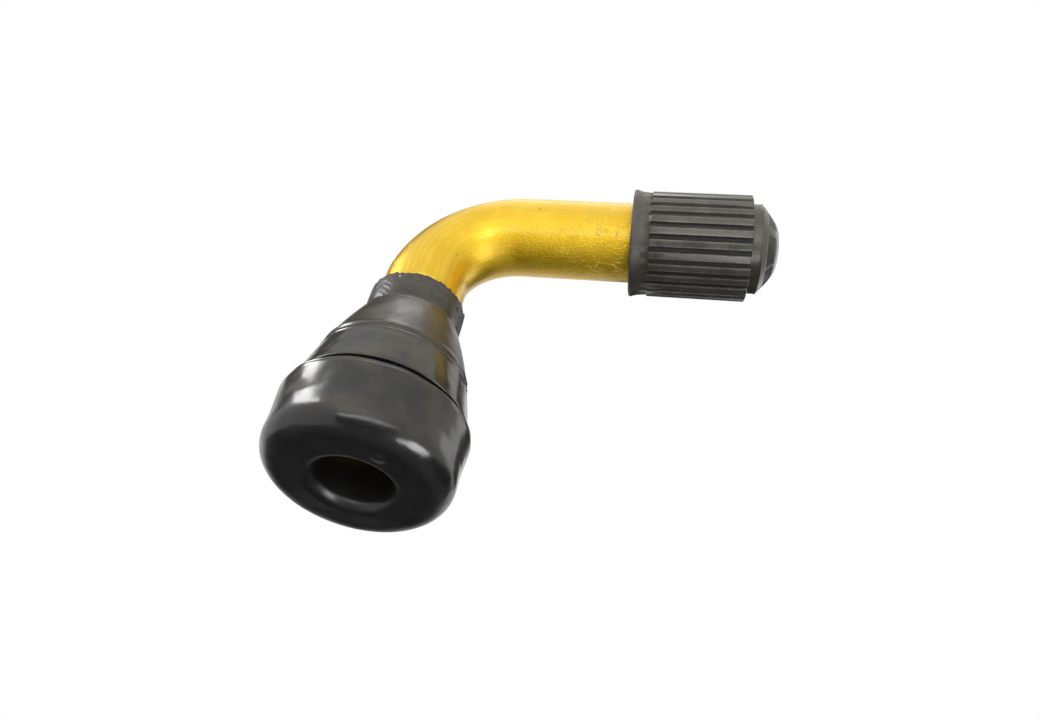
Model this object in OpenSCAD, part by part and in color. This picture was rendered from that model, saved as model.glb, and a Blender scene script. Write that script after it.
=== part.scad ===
// Snap-in tubeless tyre valve with a bent metal stem, a moulded rubber base, a spring valve
// core and a ribbed dust cap. The origin is the centre of the rim seat (the top face of the
// rubber button), +Z runs up the base and +X along the bent leg. Millimetres.

/* [Rubber button] */
// Diameter of the button that stays inside the rim
button_d = 16.2; // [14.8:0.1:19]
// Height of the button, from its bottom face to the rim seat
button_h = 6.4; // [5.6:0.1:9]
// Radius of the button's lower edge
button_edge_r = 2.1; // [0.5:0.1:2.2]
// How far the moulding lip stands out at the top of the button
lip_out = 0.25; // [0.1:0.05:0.6]
// Thickness of the moulding lip at its edge
lip_t = 0.2; // [0.15:0.05:0.8]
// Height over which the side wall leans out to the lip
lip_lean_h = 3; // [0.5:0.1:3.2]
// Diameter of the air hole's mouth in the bottom face
mouth_d = 7.6; // [7:0.1:8.4]
// Depth of the mouth's step
mouth_depth = 0.5; // [0.2:0.1:1]
// Diameter of the air hole behind the step
port_d = 6.6; // [5:0.1:6.8]
// Diameter of the moulding pip beside the mouth
pip_d = 1.3; // [0.8:0.1:1.6]
// Height of the moulding pip
pip_h = 0.25; // [0.1:0.05:0.4]
// Angle of the moulding pip round the mouth
pip_angle = 305; // [0:1:359]

/* [Rubber bulb] */
// Diameter of the groove floor that seals in the rim hole
groove_d = 11.6; // [11:0.1:12.5]
// Width of the rim groove
groove_w = 1; // [0.8:0.1:3]
// Diameter of the bulb at its foot, just above the rim
bulb_d = 15.7; // [13.8:0.1:16]
// Height of the bulb, from the groove to the ring edge
bulb_h = 4.3; // [2.5:0.1:6]
// Diameter at the ring edge on top of the bulb
ring_d = 13.5; // [12.5:0.1:14.5]
// Half height of the bead along the ring edge
ring_bead_r = 0.1; // [0.08:0.02:0.3]
// Height of the bell between the ring edge and the collar
bell_h = 6.1; // [4:0.1:9]
// How far the bell swells out from a straight cone
bell_swell = 0.1; // [0:0.02:0.5]
// Rubber wall of the collar round the stem
collar_wall = 0.6; // [0.3:0.05:1]
// Height of the collar
collar_h = 2.9; // [1.5:0.1:5]

/* [Stem] */
// Outside diameter of the stem tube
stem_d = 8; // [7.7:0.05:8.6]
// Diameter of the air way
air_d = 3.4; // [2.4:0.1:3.8]
// Diameter of the stem's foot, bonded into the rubber
foot_d = 9.5; // [9:0.1:10]
// Height of the stem's foot
foot_h = 1.6; // [1:0.1:2.5]
// Depth of the foot below the rim seat
foot_depth = 1; // [0.5:0.1:1.5]
// Bare straight stem between the collar and the bend
neck_h = 3.2; // [1:0.1:8]
// Bend radius on the stem's centre line
bend_r = 8.4; // [6.5:0.1:12]
// Straight leg between the bend and the cap's open end
leg_bare = 11.2; // [8:0.1:20]
// Depth of the tip's chamfers
tip_chamfer = 0.35; // [0.2:0.05:0.5]
// Gap where the rubber is bonded to the stem
bond_gap = 0.02; // [0.01:0.01:0.05]

/* [Cap thread] */
// Root diameter of the stem's cap thread
thread_root_d = 7; // [6.9:0.05:7.3]
// Length of the stem's cap thread
thread_len = 9.95; // [9:0.05:12]
// How far the cap's open end reaches over the plain stem
cap_cover = 0.7; // [0.4:0.1:1.2]
// Clearance between the plain stem and the cap's mouth
mouth_clear = 0.4; // [0.2:0.05:0.6]
// Diameter of the cap's thread bore
cap_bore_d = 7.9; // [7.75:0.05:8.1]

/* [Cap] */
// How far the skirt's open edge stands out past the ribs
skirt_out = 0.2; // [0:0.05:0.5]
// Bevel along the skirt's open edge
skirt_edge = 0.2; // [0.1:0.05:0.3]
// Length of the skirt
skirt_len = 1.8; // [1:0.1:3]
// How far the skirt narrows towards the ribs
skirt_taper = 0.35; // [0:0.05:0.5]
// Wall of the cap from its bore out to the grip ribs
rib_wall = 1.3; // [1.1:0.05:2]
// Depth of the slots between the ribs
slot_depth = 0.4; // [0.2:0.05:0.6]
// Width of the slots between the ribs
slot_w = 0.52; // [0.3:0.02:0.7]
// Number of ribs
rib_count = 27; // [20:1:32]
// Thickness of the cap's crown, past the seal
crown_t = 2.7; // [1.8:0.1:4]
// Wall of the nose outside the bore's diameter
nose_wall = 0.45; // [0.3:0.05:0.8]
// Straight part of the nose
nose_len = 1; // [0.4:0.1:1.6]
// Height of the nose's dome
nose_dome_h = 1.8; // [0.8:0.1:2.5]
// Diameter of the flat on the tip of the nose
nose_flat_d = 2.6; // [1:0.1:4]
// Thickness of the seal inside the cap
seal_t = 0.8; // [0.5:0.1:1.5]
// Radial clearance of the seal in the cap's bore
seal_clear = 0.1; // [0.05:0.05:0.3]
// Gap left where the seal meets the cap and the stem
seal_gap = 0.03; // [0.01:0.01:0.1]

/* [Valve core] */
// Diameter of the core's thread
plug_d = 5.2; // [5:0.05:5.25]
// Radial clearance of the core in the stem
core_clear = 0.05; // [0.02:0.01:0.1]
// Depth of the core's yoke below the stem's tip
yoke_depth = 0.9; // [0.5:0.1:1.5]
// Height of the yoke, which the key turns
yoke_h = 1.7; // [1:0.1:2.5]
// Width across the yoke's flats
yoke_w = 2.9; // [2.7:0.1:3.6]
// Length of the threaded part of the plug
plug_len = 3; // [2:0.1:5]
// Diameter of the plug's air hole
plug_hole_d = 2.1; // [1.9:0.05:2.4]
// Length of the barrel's head under the plug
barrel_head_h = 0.65; // [0.4:0.05:1]
// Diameter of the barrel's head
barrel_head_d = 4.6; // [4:0.1:4.8]
// Diameter of the barrel's neck, inside the gasket
barrel_neck_d = 3; // [2.9:0.05:3.3]
// Length of the barrel's neck
barrel_neck_len = 2; // [1.4:0.1:3]
// Diameter of the barrel below the gasket
barrel_d = 3.6; // [3.4:0.05:3.9]
// Length of the barrel below the gasket
barrel_len = 3.7; // [2.5:0.1:5]
// Diameter of the spring chamber in the barrel
chamber_d = 2.4; // [2.3:0.05:2.6]
// Thickness of the barrel's floor
barrel_floor = 0.7; // [0.4:0.1:1.2]
// Diameter of the hole in the barrel's floor
floor_hole_d = 1.5; // [1.4:0.05:1.7]
// Diameter of the bore below the gasket's seat
deep_bore_d = 4.3; // [4.2:0.05:4.4]
// Length of the tapered gasket seat in the stem
seat_len = 2.4; // [1.8:0.1:3]
// Gap where core pieces are pressed together
core_gap = 0.02; // [0.01:0.01:0.04]

/* [Core pin] */
// Diameter of the core pin
pin_d = 1.1; // [0.9:0.05:1.2]
// Diameter of the pin's head
pin_head_d = 1.5; // [1.3:0.05:1.6]
// Height of the pin's head
pin_head_h = 0.9; // [0.5:0.1:1.4]
// Depth of the pin's head below the stem's tip
pin_depth = 0.4; // [0.2:0.1:0.8]
// Diameter of the pin's spring collar
pin_collar_d = 2.05; // [1.9:0.05:2.1]
// Height of the pin's spring collar
pin_collar_h = 0.6; // [0.4:0.1:1]
// Diameter of the sealing cup at the pin's inner end
cup_d = 3.5; // [3.2:0.05:3.7]
// Height of the sealing cup
cup_h = 1.8; // [1.4:0.1:2.5]
// Wall of the sealing cup
cup_wall = 0.22; // [0.15:0.01:0.3]
// Thickness of the washer in the cup
washer_t = 0.9; // [0.6:0.1:1.2]
// How far the washer stands out of the cup
washer_out = 0.35; // [0.2:0.05:0.5]
// Diameter of the rivet that holds the cup
rivet_d = 1.8; // [1.5:0.1:2.2]
// Height of the rivet
rivet_h = 0.4; // [0.2:0.1:0.8]
// Travel of the pin when it is pressed
pin_travel = 1.5; // [1:0.1:2]
// Wire diameter of the core spring
wire_d = 0.28; // [0.2:0.02:0.32]
// Turns of the core spring
spring_turns = 7; // [5:1:9]

/* [Hidden] */
$fn = 96;
// Facets along the nose's dome
dome_steps = 8;

// Small overlap that lets cuts run past a face
eps = 0.05;
// Heights above the rim seat
ring_z = groove_w + bulb_h;
collar_z = ring_z + bell_h;
collar_top = collar_z + collar_h;
bend_z = collar_top + neck_h;
leg_z = bend_z + bend_r;
// Distances along the leg, from the end of the bend
shoulder_s = leg_bare + cap_cover;
tip_s = shoulder_s + thread_len;
cap_depth = cap_cover + thread_len + seal_t + 2 * seal_gap;
cap_len = cap_depth + crown_t;
rib_end = cap_len - nose_len - nose_dome_h;
// Radii of the rubber's outline
collar_r = stem_d / 2 + collar_wall;
pip_r = (pip_d * pip_d / 4 + pip_h * pip_h) / (2 * pip_h);
pip_place = mouth_d / 2 + pip_d;
bulb_edge_r = lip_t / 2;
// Diameters of the cap's outline
rib_d = cap_bore_d + 2 * rib_wall;
skirt_d = rib_d + 2 * skirt_out;
nose_d = cap_bore_d + 2 * nose_wall;
// Length of the cone from the plain stem down to the thread
lead_len = (stem_d - thread_root_d) / 2;
// Depths below the stem's tip
plug_end = yoke_depth + yoke_h + plug_len;
neck_top = plug_end + core_gap + barrel_head_h;
neck_end = neck_top + barrel_neck_len;
barrel_end = neck_end + barrel_len;
chamber_end = barrel_end - barrel_floor;
core_bore_d = plug_d + 2 * core_clear;
seat_top = plug_end + barrel_head_h;
cup_end = barrel_end + core_gap + cup_h;
pin_end = cup_end + core_gap + rivet_h;
deep_end = pin_end + 2 * pin_travel;
collar_depth = plug_end + 2 * core_clear;
spring_top = collar_depth + pin_collar_h + core_gap;
spring_end = chamber_end - core_gap;
coil_r = (chamber_d + pin_d) / 4;

// Points of a round stretch about (x, y), from angle a0 to a1
function arc(x, y, r, a0, a1, n = 8) =
    [for (i = [0 : n]) [x + r * cos(a0 + (a1 - a0) * i / n), y + r * sin(a0 + (a1 - a0) * i / n)]];

// Radius of the tapered gasket seat at a depth below the tip
function seat_r(d) = core_bore_d / 2 - (d - seat_top) / seat_len * (core_bore_d - deep_bore_d) / 2;

// Carries children from the end of the bend out along the leg
module along_leg(s = 0) {
    translate([bend_r + s, 0, leg_z]) rotate([0, 90, 0]) children();
}

// Carries children to a depth below the tip, with their +Z pointing down into the stem
module into_stem(depth = 0) {
    translate([bend_r + tip_s - depth, 0, leg_z]) rotate([0, -90, 0]) children();
}

// Bell between the ring edge and the collar: a cone that swells out halfway
function bell(n = 10) =
    [for (i = [0 : n])
        let (t = i / n, r0 = ring_d / 2)
        [r0 + (collar_r - r0) * t + bell_swell * sin(180 * t), ring_z + bell_h * t]];

module rubber_outline() {
    r = button_d / 2;
    polygon(concat(
        [[0, -button_h]],
        arc(r - button_edge_r, button_edge_r - button_h, button_edge_r, -90, 0),
        [[r, -lip_lean_h], [r + lip_out, -lip_t], [r + lip_out, 0], [groove_d / 2, 0]],
        [[groove_d / 2, groove_w]],
        arc(bulb_d / 2 - bulb_edge_r, groove_w + bulb_edge_r, bulb_edge_r, -90, 0, 4),
        [[ring_d / 2, ring_z - 2 * ring_bead_r]],
        arc(ring_d / 2, ring_z - ring_bead_r, ring_bead_r, -90, 90, 6),
        bell(),
        [[collar_r, collar_top], [0, collar_top]]));
}

module rubber_base() color("#2b2b2c") difference() {
    union() {
        rotate_extrude() rubber_outline();
        rotate([0, 0, pip_angle]) intersection() {
            translate([pip_place, 0, pip_r - button_h - pip_h]) sphere(pip_r);
            translate([pip_place, 0, -button_h - pip_h]) cylinder(d = pip_d, h = pip_h + eps);
        }
    }
    translate([0, 0, -button_h - eps]) cylinder(d = mouth_d, h = mouth_depth + eps);
    translate([0, 0, -button_h]) cylinder(d = port_d, h = button_h);
    translate([0, 0, -foot_depth - bond_gap])
        cylinder(d = foot_d + 2 * bond_gap, h = foot_h + 2 * bond_gap);
    cylinder(d = stem_d + 2 * bond_gap, h = collar_top + eps);
}

// Quarter turn of tube between the upright stem and the leg
module bend(d) {
    translate([bend_r, 0, bend_z]) rotate([90, 0, 0]) rotate([0, 0, 90])
        rotate_extrude(angle = 90) translate([bend_r, 0]) circle(d = d);
}

// Half outline of the upright: foot and plain tube
module upright_outline() {
    polygon([[0, -foot_depth], [foot_d / 2, -foot_depth], [foot_d / 2, foot_h - foot_depth],
             [stem_d / 2, foot_h - foot_depth], [stem_d / 2, bend_z], [0, bend_z]]);
}

// Half outline of the leg: plain tube, lead-in cone, cap thread and chamfered tip
module leg_outline() {
    root_r = thread_root_d / 2;
    polygon([[0, 0], [stem_d / 2, 0], [stem_d / 2, shoulder_s - lead_len], [root_r, shoulder_s],
             [root_r, tip_s - tip_chamfer], [root_r - tip_chamfer, tip_s], [0, tip_s]]);
}

// Half outline of the leg's bore: air way, room for the pin, gasket seat, core thread and its mouth
module bore_outline() {
    mouth_r = core_bore_d / 2 + tip_chamfer;
    seat_end = tip_s - seat_top - seat_len;
    polygon([[0, 0], [air_d / 2, 0], [air_d / 2, tip_s - deep_end], [deep_bore_d / 2, tip_s - deep_end],
             [deep_bore_d / 2, seat_end], [core_bore_d / 2, tip_s - seat_top],
             [core_bore_d / 2, tip_s - tip_chamfer], [mouth_r, tip_s], [mouth_r, tip_s + eps],
             [0, tip_s + eps]]);
}

module stem() color("#d8a91c") difference() {
    union() {
        rotate_extrude() upright_outline();
        bend(stem_d);
        along_leg() rotate_extrude() leg_outline();
    }
    translate([0, 0, -foot_depth - eps]) cylinder(d = air_d, h = bend_z + foot_depth + eps);
    bend(air_d);
    along_leg() rotate_extrude() bore_outline();
}

module core_plug() color("#c9a24a") into_stem(yoke_depth) difference() {
    union() {
        translate([0, 0, yoke_h]) cylinder(d = plug_d, h = plug_len);
        intersection() {
            cylinder(d = plug_d, h = yoke_h + eps);
            translate([-plug_d, -yoke_w / 2, 0]) cube([2 * plug_d, yoke_w, yoke_h + eps]);
        }
    }
    translate([0, 0, -eps]) cylinder(d = plug_hole_d, h = yoke_h + plug_len + 2 * eps);
}

module core_barrel() color("#b8923e") into_stem(plug_end + core_gap) difference() {
    union() {
        cylinder(d = barrel_head_d, h = barrel_head_h);
        translate([0, 0, barrel_head_h]) cylinder(d = barrel_neck_d, h = barrel_neck_len);
        translate([0, 0, barrel_head_h + barrel_neck_len])
            cylinder(d = barrel_d, h = barrel_len - core_gap);
    }
    translate([0, 0, -eps]) cylinder(d = chamber_d, h = chamber_end - plug_end - core_gap + eps);
    cylinder(d = floor_hole_d, h = barrel_end - plug_end + eps);
}

module core_gasket() color("#e8e2d2") {
    top = neck_top + core_gap;
    h = barrel_neck_len - 2 * core_gap;
    into_stem(top) difference() {
        cylinder(r1 = seat_r(top) - core_gap, r2 = seat_r(top + h) - core_gap, h = h);
        translate([0, 0, -eps]) cylinder(d = barrel_neck_d + 2 * core_gap, h = h + 2 * eps);
    }
}

// Closed helix of round wire: rings of points along the coil, joined side by side
module coil(r, wire, length, turns, steps = 16, sides = 6) {
    count = turns * steps;
    rise = length - wire;
    points = [for (i = [0 : count], j = [0 : sides - 1])
        let (a = 360 * i / steps, b = 360 * j / sides, ring = r + wire / 2 * cos(b))
        [ring * cos(a), ring * sin(a), wire / 2 + rise * i / count + wire / 2 * sin(b)]];
    walls = [for (i = [0 : count - 1], j = [0 : sides - 1])
        let (k = (j + 1) % sides)
        [i * sides + j, (i + 1) * sides + j, (i + 1) * sides + k, i * sides + k]];
    ends = [[for (j = [0 : sides - 1]) j], [for (j = [0 : sides - 1]) count * sides + sides - 1 - j]];
    polyhedron(points, concat(walls, ends));
}

module core_spring() color("#b9bcc0") into_stem(spring_top)
    coil(coil_r, wire_d, spring_end - spring_top, spring_turns);

module core_pin() color("#d3b25a") {
    bevel = (pin_head_d - pin_d) / 2;
    into_stem(pin_depth) cylinder(d1 = pin_d, d2 = pin_head_d, h = bevel);
    into_stem(pin_depth + bevel) cylinder(d = pin_head_d, h = pin_head_h - bevel);
    into_stem(pin_depth) cylinder(d = pin_d, h = pin_end - pin_depth);
    into_stem(collar_depth) cylinder(d = pin_collar_d, h = pin_collar_h);
    into_stem(pin_end - rivet_h) cylinder(d = rivet_d, h = rivet_h);
}

module core_cup() color("#c9a24a") into_stem(barrel_end + core_gap + washer_out) difference() {
    cylinder(d = cup_d, h = cup_h - washer_out);
    translate([0, 0, -eps])
        cylinder(d = cup_d - 2 * cup_wall, h = washer_t - washer_out + core_gap + eps);
    cylinder(d = pin_d + 2 * core_gap, h = cup_h);
}

module core_washer() color("#1c1c1c") into_stem(barrel_end + core_gap) difference() {
    cylinder(d = cup_d - 2 * cup_wall - 2 * core_gap, h = washer_t);
    translate([0, 0, -eps]) cylinder(d = pin_d + 2 * core_gap, h = washer_t + 2 * eps);
}

// Half outline of the cap: skirt, barrel over the ribs, nose and dome
module cap_outline() {
    skirt_r = skirt_d / 2;
    dome_r = nose_d / 2;
    flat_r = nose_flat_d / 2;
    polygon(concat(
        [[0, 0], [skirt_r - skirt_edge, 0], [skirt_r, skirt_edge]],
        [[skirt_r - skirt_taper, skirt_len], [rib_d / 2, skirt_len]],
        [[rib_d / 2, rib_end], [dome_r, rib_end], [dome_r, rib_end + nose_len]],
        [for (i = [1 : dome_steps])
            let (t = i / dome_steps)
            [dome_r + (flat_r - dome_r) * t, rib_end + nose_len + nose_dome_h * sin(90 * t)]],
        [[0, cap_len]]));
}

module cap() color("#33312f") along_leg(leg_bare) difference() {
    rotate_extrude() cap_outline();
    for (i = [0 : rib_count - 1])
        rotate([0, 0, 360 * i / rib_count])
            translate([rib_d / 2 - slot_depth, -slot_w / 2, skirt_len])
                cube([slot_depth + eps, slot_w, rib_end - skirt_len + eps]);
    translate([0, 0, -eps]) cylinder(d = cap_bore_d, h = cap_depth + eps);
    translate([0, 0, -eps]) cylinder(d = stem_d + 2 * mouth_clear, h = cap_cover + mouth_clear + eps);
}

module cap_seal() color("#1c1c1c") along_leg(tip_s + seal_gap)
    cylinder(d = cap_bore_d - 2 * seal_clear, h = seal_t);

rubber_base();
stem();
core_plug();
core_barrel();
core_gasket();
core_spring();
core_pin();
core_cup();
core_washer();
cap();
cap_seal();
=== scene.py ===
import bmesh
import bpy
import numpy as np
from mathutils import Matrix, Vector


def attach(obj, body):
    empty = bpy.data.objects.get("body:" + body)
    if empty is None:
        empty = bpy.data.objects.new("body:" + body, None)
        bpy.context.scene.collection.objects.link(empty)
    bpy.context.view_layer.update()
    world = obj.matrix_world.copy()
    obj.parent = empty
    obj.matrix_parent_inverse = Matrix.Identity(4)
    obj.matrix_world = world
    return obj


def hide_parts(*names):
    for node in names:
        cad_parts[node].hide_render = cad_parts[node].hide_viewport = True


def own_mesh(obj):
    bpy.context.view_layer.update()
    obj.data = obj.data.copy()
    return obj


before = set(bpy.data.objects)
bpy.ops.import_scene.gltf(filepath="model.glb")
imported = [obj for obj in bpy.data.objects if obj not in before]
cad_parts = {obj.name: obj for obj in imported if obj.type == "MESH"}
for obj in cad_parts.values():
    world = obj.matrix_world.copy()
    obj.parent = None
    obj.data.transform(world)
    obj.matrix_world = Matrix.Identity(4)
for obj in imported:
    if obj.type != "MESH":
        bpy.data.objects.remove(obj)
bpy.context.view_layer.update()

# Stem: one drawn aluminium tube, bent through a quarter turn after its foot was turned and its
# tip was threaded for the cap. It is anodised gold all over, and the rubber is bonded round its foot.
# Sizes are in millimetres from the rim seat; a name in _S is a length along the tube's centre line.
MM, TAU = 0.001, 2 * np.pi
SEAT_TO_FOOT = 1.0
STEM_R, AIR_R = 4.0, 1.7
FOOT_R, FOOT_H, FOOT_EDGE, FOOT_FILLET = 4.75, 1.6, 0.2, 0.1
BEND_Z, BEND_R, BEND_FLAT = 17.5, 8.4, 0.64
LEG_Z, LEG_LEN, THREAD_LEN = BEND_Z + BEND_R, 11.9, 9.95
LEG_START = BEND_Z + SEAT_TO_FOOT + BEND_R * np.pi / 2
SHOULDER_S = LEG_START + LEG_LEN
TIP_S = SHOULDER_S + THREAD_LEN
TIP_X = BEND_R + TIP_S - LEG_START
PITCH, THREAD_ROOT_R, THREAD_CREST_R, THREAD_FLAT = 0.79375, 3.48, 3.84, 0.15
LEAD_LEN, LEAD_EDGE, RUN_OUT = 0.5, 0.15, 0.7
TIP_CHAMFER, TIP_EDGE = 0.35, 0.1
ROLLED_S, ROLLED_H, ROLLED_W = (15.68, 15.96), 0.045, 0.06
ROLLED_MARGIN, ROLLED_STEP = 0.2, 0.035
CORE_BORE_R, DEEP_BORE_R = 2.65, 2.15
SEAT_TOP, SEAT_END, DEEP_END = 6.25, 8.65, 17.21
STEM_SIDES, THREAD_ROWS = 128, 14


def rounded(corners, step):
    """Outline through corners (x, y, radius): each corner becomes an arc of that radius, cut where
    the two edges touch it, and no two points of the result lie further apart than step."""
    spot = np.array([corner[:2] for corner in corners], float)
    run = []
    for i, (_, _, radius) in enumerate(corners):
        if radius == 0 or i in (0, len(corners) - 1):
            run.append(spot[i:i + 1])
            continue
        back, on = spot[i - 1] - spot[i], spot[i + 1] - spot[i]
        back, on = back / np.linalg.norm(back), on / np.linalg.norm(on)
        half = np.arccos(np.clip(back @ on, -1, 1)) / 2
        middle = spot[i] + (back + on) / np.linalg.norm(back + on) * radius / np.sin(half)
        first = spot[i] + back * radius / np.tan(half) - middle
        last = spot[i] + on * radius / np.tan(half) - middle
        turn = np.pi - 2 * half
        w = np.linspace(0, 1, max(5, int(np.ceil(turn * radius / step)) + 1))[:, None]
        run.append(middle + (np.sin((1 - w) * turn) * first + np.sin(w * turn) * last) / np.sin(turn))
    line = np.concatenate(run)
    gap = np.linalg.norm(np.diff(line, axis=0), axis=1)
    line, gap = line[np.append(True, gap > 1e-6)], gap[gap > 1e-6]
    far = np.append(0, np.cumsum(gap))
    parts = np.ceil(gap / step - 1e-6).astype(int)
    stops = [np.linspace(far[i], far[i + 1], count, endpoint=False) for i, count in enumerate(parts)]
    stops = np.append(np.concatenate(stops), far[-1])
    return np.stack([np.interp(stops, far, line[:, k]) for k in (0, 1)], 1)


def grid_piece(name, grid, loop_rows=False, **marks):
    """Mesh of a grid of points (rows, columns, 3) in millimetres: each cell is a quad, the columns
    close into rings and the rows too where loop_rows is set. Rings of no size shrink to one point.
    Each of marks is an array over the grid, of numbers or of vectors, kept as a point attribute."""
    rows, cols = grid.shape[:2]
    r = np.arange(rows if loop_rows else rows - 1)[:, None]
    c = np.arange(cols)[None, :]
    r1, c1 = (r + 1) % rows, (c + 1) % cols
    quads = np.stack([r * cols + c, r1 * cols + c, r1 * cols + c1, r * cols + c1], -1).reshape(-1, 4)
    points = grid.reshape(-1, 3) * MM
    a, b, d, e = (points[quads[:, k]] for k in range(4))
    inside_out = (np.cross(a, b) * d).sum() + (np.cross(a, d) * e).sum() < 0
    if inside_out:
        quads = quads[:, ::-1]
    mesh = bpy.data.meshes.new(name)
    mesh.from_pydata(points, [], quads.tolist())
    for mark, value in marks.items():
        kind, field = ("FLOAT_VECTOR", "vector") if value.ndim == 3 else ("FLOAT", "value")
        kept = mesh.attributes.new(mark, kind, "POINT")
        kept.data.foreach_set(field, value.astype(np.float32).ravel())
    soft = bmesh.new()
    soft.from_mesh(mesh)
    bmesh.ops.remove_doubles(soft, verts=soft.verts, dist=2e-8)
    soft.to_mesh(mesh)
    soft.free()
    mesh.polygons.foreach_set("use_smooth", np.ones(len(mesh.polygons), bool))
    piece = bpy.data.objects.new(name, mesh)
    bpy.context.scene.collection.objects.link(piece)
    return piece


def bend_angle(s):
    """Angle turned at length s along the stem: 0 up to the bend, a right angle past it."""
    return np.clip((s - BEND_Z - SEAT_TO_FOOT) / BEND_R, 0, np.pi / 2)


def stem_path(s, radius, turn):
    """Point of the stem at length s along its centre line, radius out and turn round it. The line runs
    up from the foot, round a quarter circle of BEND_R and out along +X; turn 0 is the bend's outside."""
    angle = bend_angle(s)
    up = np.minimum(s - SEAT_TO_FOOT, BEND_Z)
    out = np.maximum(s - LEG_START, 0)
    out_x, out_z = -np.cos(angle), np.sin(angle)
    side = radius * np.cos(turn)
    return np.stack([BEND_R + BEND_R * out_x + out + side * out_x,
                     -radius * np.sin(turn),
                     up + BEND_R * out_z + side * out_z], -1)


def thread_ridge(phase):
    """Height of a thread at a phase of its pitch, 0 in the groove and 1 on the crest: a V whose top
    and bottom are cut flat."""
    v_shape = 1 - np.abs(2 * (phase % 1) - 1)
    return np.clip(v_shape * (1 + 2 * THREAD_FLAT) - THREAD_FLAT, 0, 1)


def hump(x, centre, width):
    """Bell curve of height 1 at centre, as wide as width."""
    return np.exp(-((x - centre) / width) ** 2)


rolled_rows = np.arange(ROLLED_S[0] - ROLLED_MARGIN, ROLLED_S[1] + ROLLED_MARGIN, ROLLED_STEP)
skin = rounded([(0, AIR_R, 0), (0, FOOT_R, FOOT_EDGE), (FOOT_H, FOOT_R, FOOT_EDGE),
                (FOOT_H, STEM_R, FOOT_FILLET)] + [(row, STEM_R, 0) for row in rolled_rows]
               + [(SHOULDER_S - LEAD_LEN, STEM_R, LEAD_EDGE), (SHOULDER_S, THREAD_ROOT_R, 0)], step=0.3)
cut = np.arange(SHOULDER_S + PITCH / THREAD_ROWS, TIP_S - TIP_CHAMFER, PITCH / THREAD_ROWS)
cut = np.stack([cut, np.full(len(cut), THREAD_ROOT_R)], 1)
inside = rounded([(TIP_S - TIP_CHAMFER, THREAD_ROOT_R, 0),
                  (TIP_S, THREAD_ROOT_R - TIP_CHAMFER, TIP_EDGE),
                  (TIP_S, CORE_BORE_R + TIP_CHAMFER, TIP_EDGE),
                  (TIP_S - TIP_CHAMFER, CORE_BORE_R, TIP_EDGE), (TIP_S - SEAT_TOP, CORE_BORE_R, 0),
                  (TIP_S - SEAT_END, DEEP_BORE_R, 0), (TIP_S - DEEP_END, DEEP_BORE_R, 0),
                  (TIP_S - DEEP_END, AIR_R, 0), (0, AIR_R, 0)], step=0.8)
outline = np.concatenate([skin, cut, inside[:-1]])
s, radius = outline[:, :1], outline[:, 1:]
turn = np.linspace(0, TAU, STEM_SIDES, endpoint=False)[None, :]
threaded = (s >= SHOULDER_S) & (s <= TIP_S - TIP_CHAMFER) & (radius > CORE_BORE_R + TIP_CHAMFER)
fade_in = np.clip((s - SHOULDER_S) / PITCH, 0, 1)
fade_out = np.clip((TIP_S - TIP_CHAMFER - s) / (RUN_OUT * PITCH), 0, 1)
ridge = threaded * fade_in * fade_out * thread_ridge((s - LEG_START + BEND_R) / PITCH - turn / TAU)
outer_face = radius > (AIR_R + STEM_R) / 2
flattened = outer_face * np.sin(2 * bend_angle(s)) * np.maximum(np.cos(turn), 0) ** 2
rolled = (radius == STEM_R) * sum(hump(s, line, ROLLED_W) for line in ROLLED_S)
stem_r = radius + ridge * (THREAD_CREST_R - THREAD_ROOT_R) - BEND_FLAT * flattened + ROLLED_H * rolled
# The tube as it was before the bend, for a finish that follows it: along, then across.
straight = np.stack([s + 0 * turn, radius * np.cos(turn), radius * np.sin(turn)], -1)
stem = grid_piece("stem_tube", stem_path(s + 0 * turn, stem_r, turn + 0 * s), loop_rows=True,
                  straight=straight)
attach(stem, "valve_body")
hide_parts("stem")


def put(tree, kind, inputs=None, **settings):
    """Adds a node with its settings; each input takes a value or another node's output."""
    made = tree.nodes.new("ShaderNode" + kind)
    for key, value in settings.items():
        setattr(made, key, value)
    for key, value in (inputs or {}).items():
        if isinstance(value, bpy.types.NodeSocket):
            tree.links.new(value, made.inputs[key])
        else:
            made.inputs[key].default_value = value
    return made


def sums(tree, way, a, b=0.0):
    """One step of arithmetic on values or outputs."""
    return put(tree, "Math", {0: a, 1: b}, operation=way).outputs[0]


def between(tree, value, low, high, start=0.0, end=1.0):
    """Smooth step: start below low, end above high."""
    return put(tree, "MapRange", {"Value": value, "From Min": low, "From Max": high, "To Min": start,
                                  "To Max": end}, interpolation_type="SMOOTHSTEP").outputs["Result"]


def tint(tree, amount, a, b):
    """Colour a turning into colour b by amount; both may be outputs."""
    return put(tree, "Mix", {"Factor": amount, 6: a, 7: b}, data_type="RGBA").outputs[2]


def noise(tree, vector, scale, detail=2.0, stretch=None):
    """Noise from a coordinate in millimetres: scale is waves to the millimetre, stretch changes it
    by axis."""
    if stretch:
        vector = put(tree, "Mapping", {"Vector": vector, "Scale": stretch}).outputs[0]
    return put(tree, "TexNoise", {"Vector": vector, "Scale": scale, "Detail": detail}).outputs[0]


def in_mm(tree):
    """Object coordinates in millimetres."""
    place = put(tree, "TexCoord").outputs["Object"]
    return put(tree, "VectorMath", {0: place, 1: (1 / MM,) * 3}, operation="MULTIPLY").outputs[0]


def new_finish(name):
    """Empty material with its Principled shader."""
    finish = bpy.data.materials.new(name)
    finish.use_nodes = True
    return finish, finish.node_tree, finish.node_tree.nodes["Principled BSDF"]


def set_relief(tree, shade, height, depth):
    """Bumps the shader by a height; depth is how many millimetres a height of 1 stands for."""
    bump = put(tree, "Bump", {"Height": height, "Strength": 1.0, "Distance": depth * MM})
    tree.links.new(bump.outputs[0], shade.inputs["Normal"])


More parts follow.
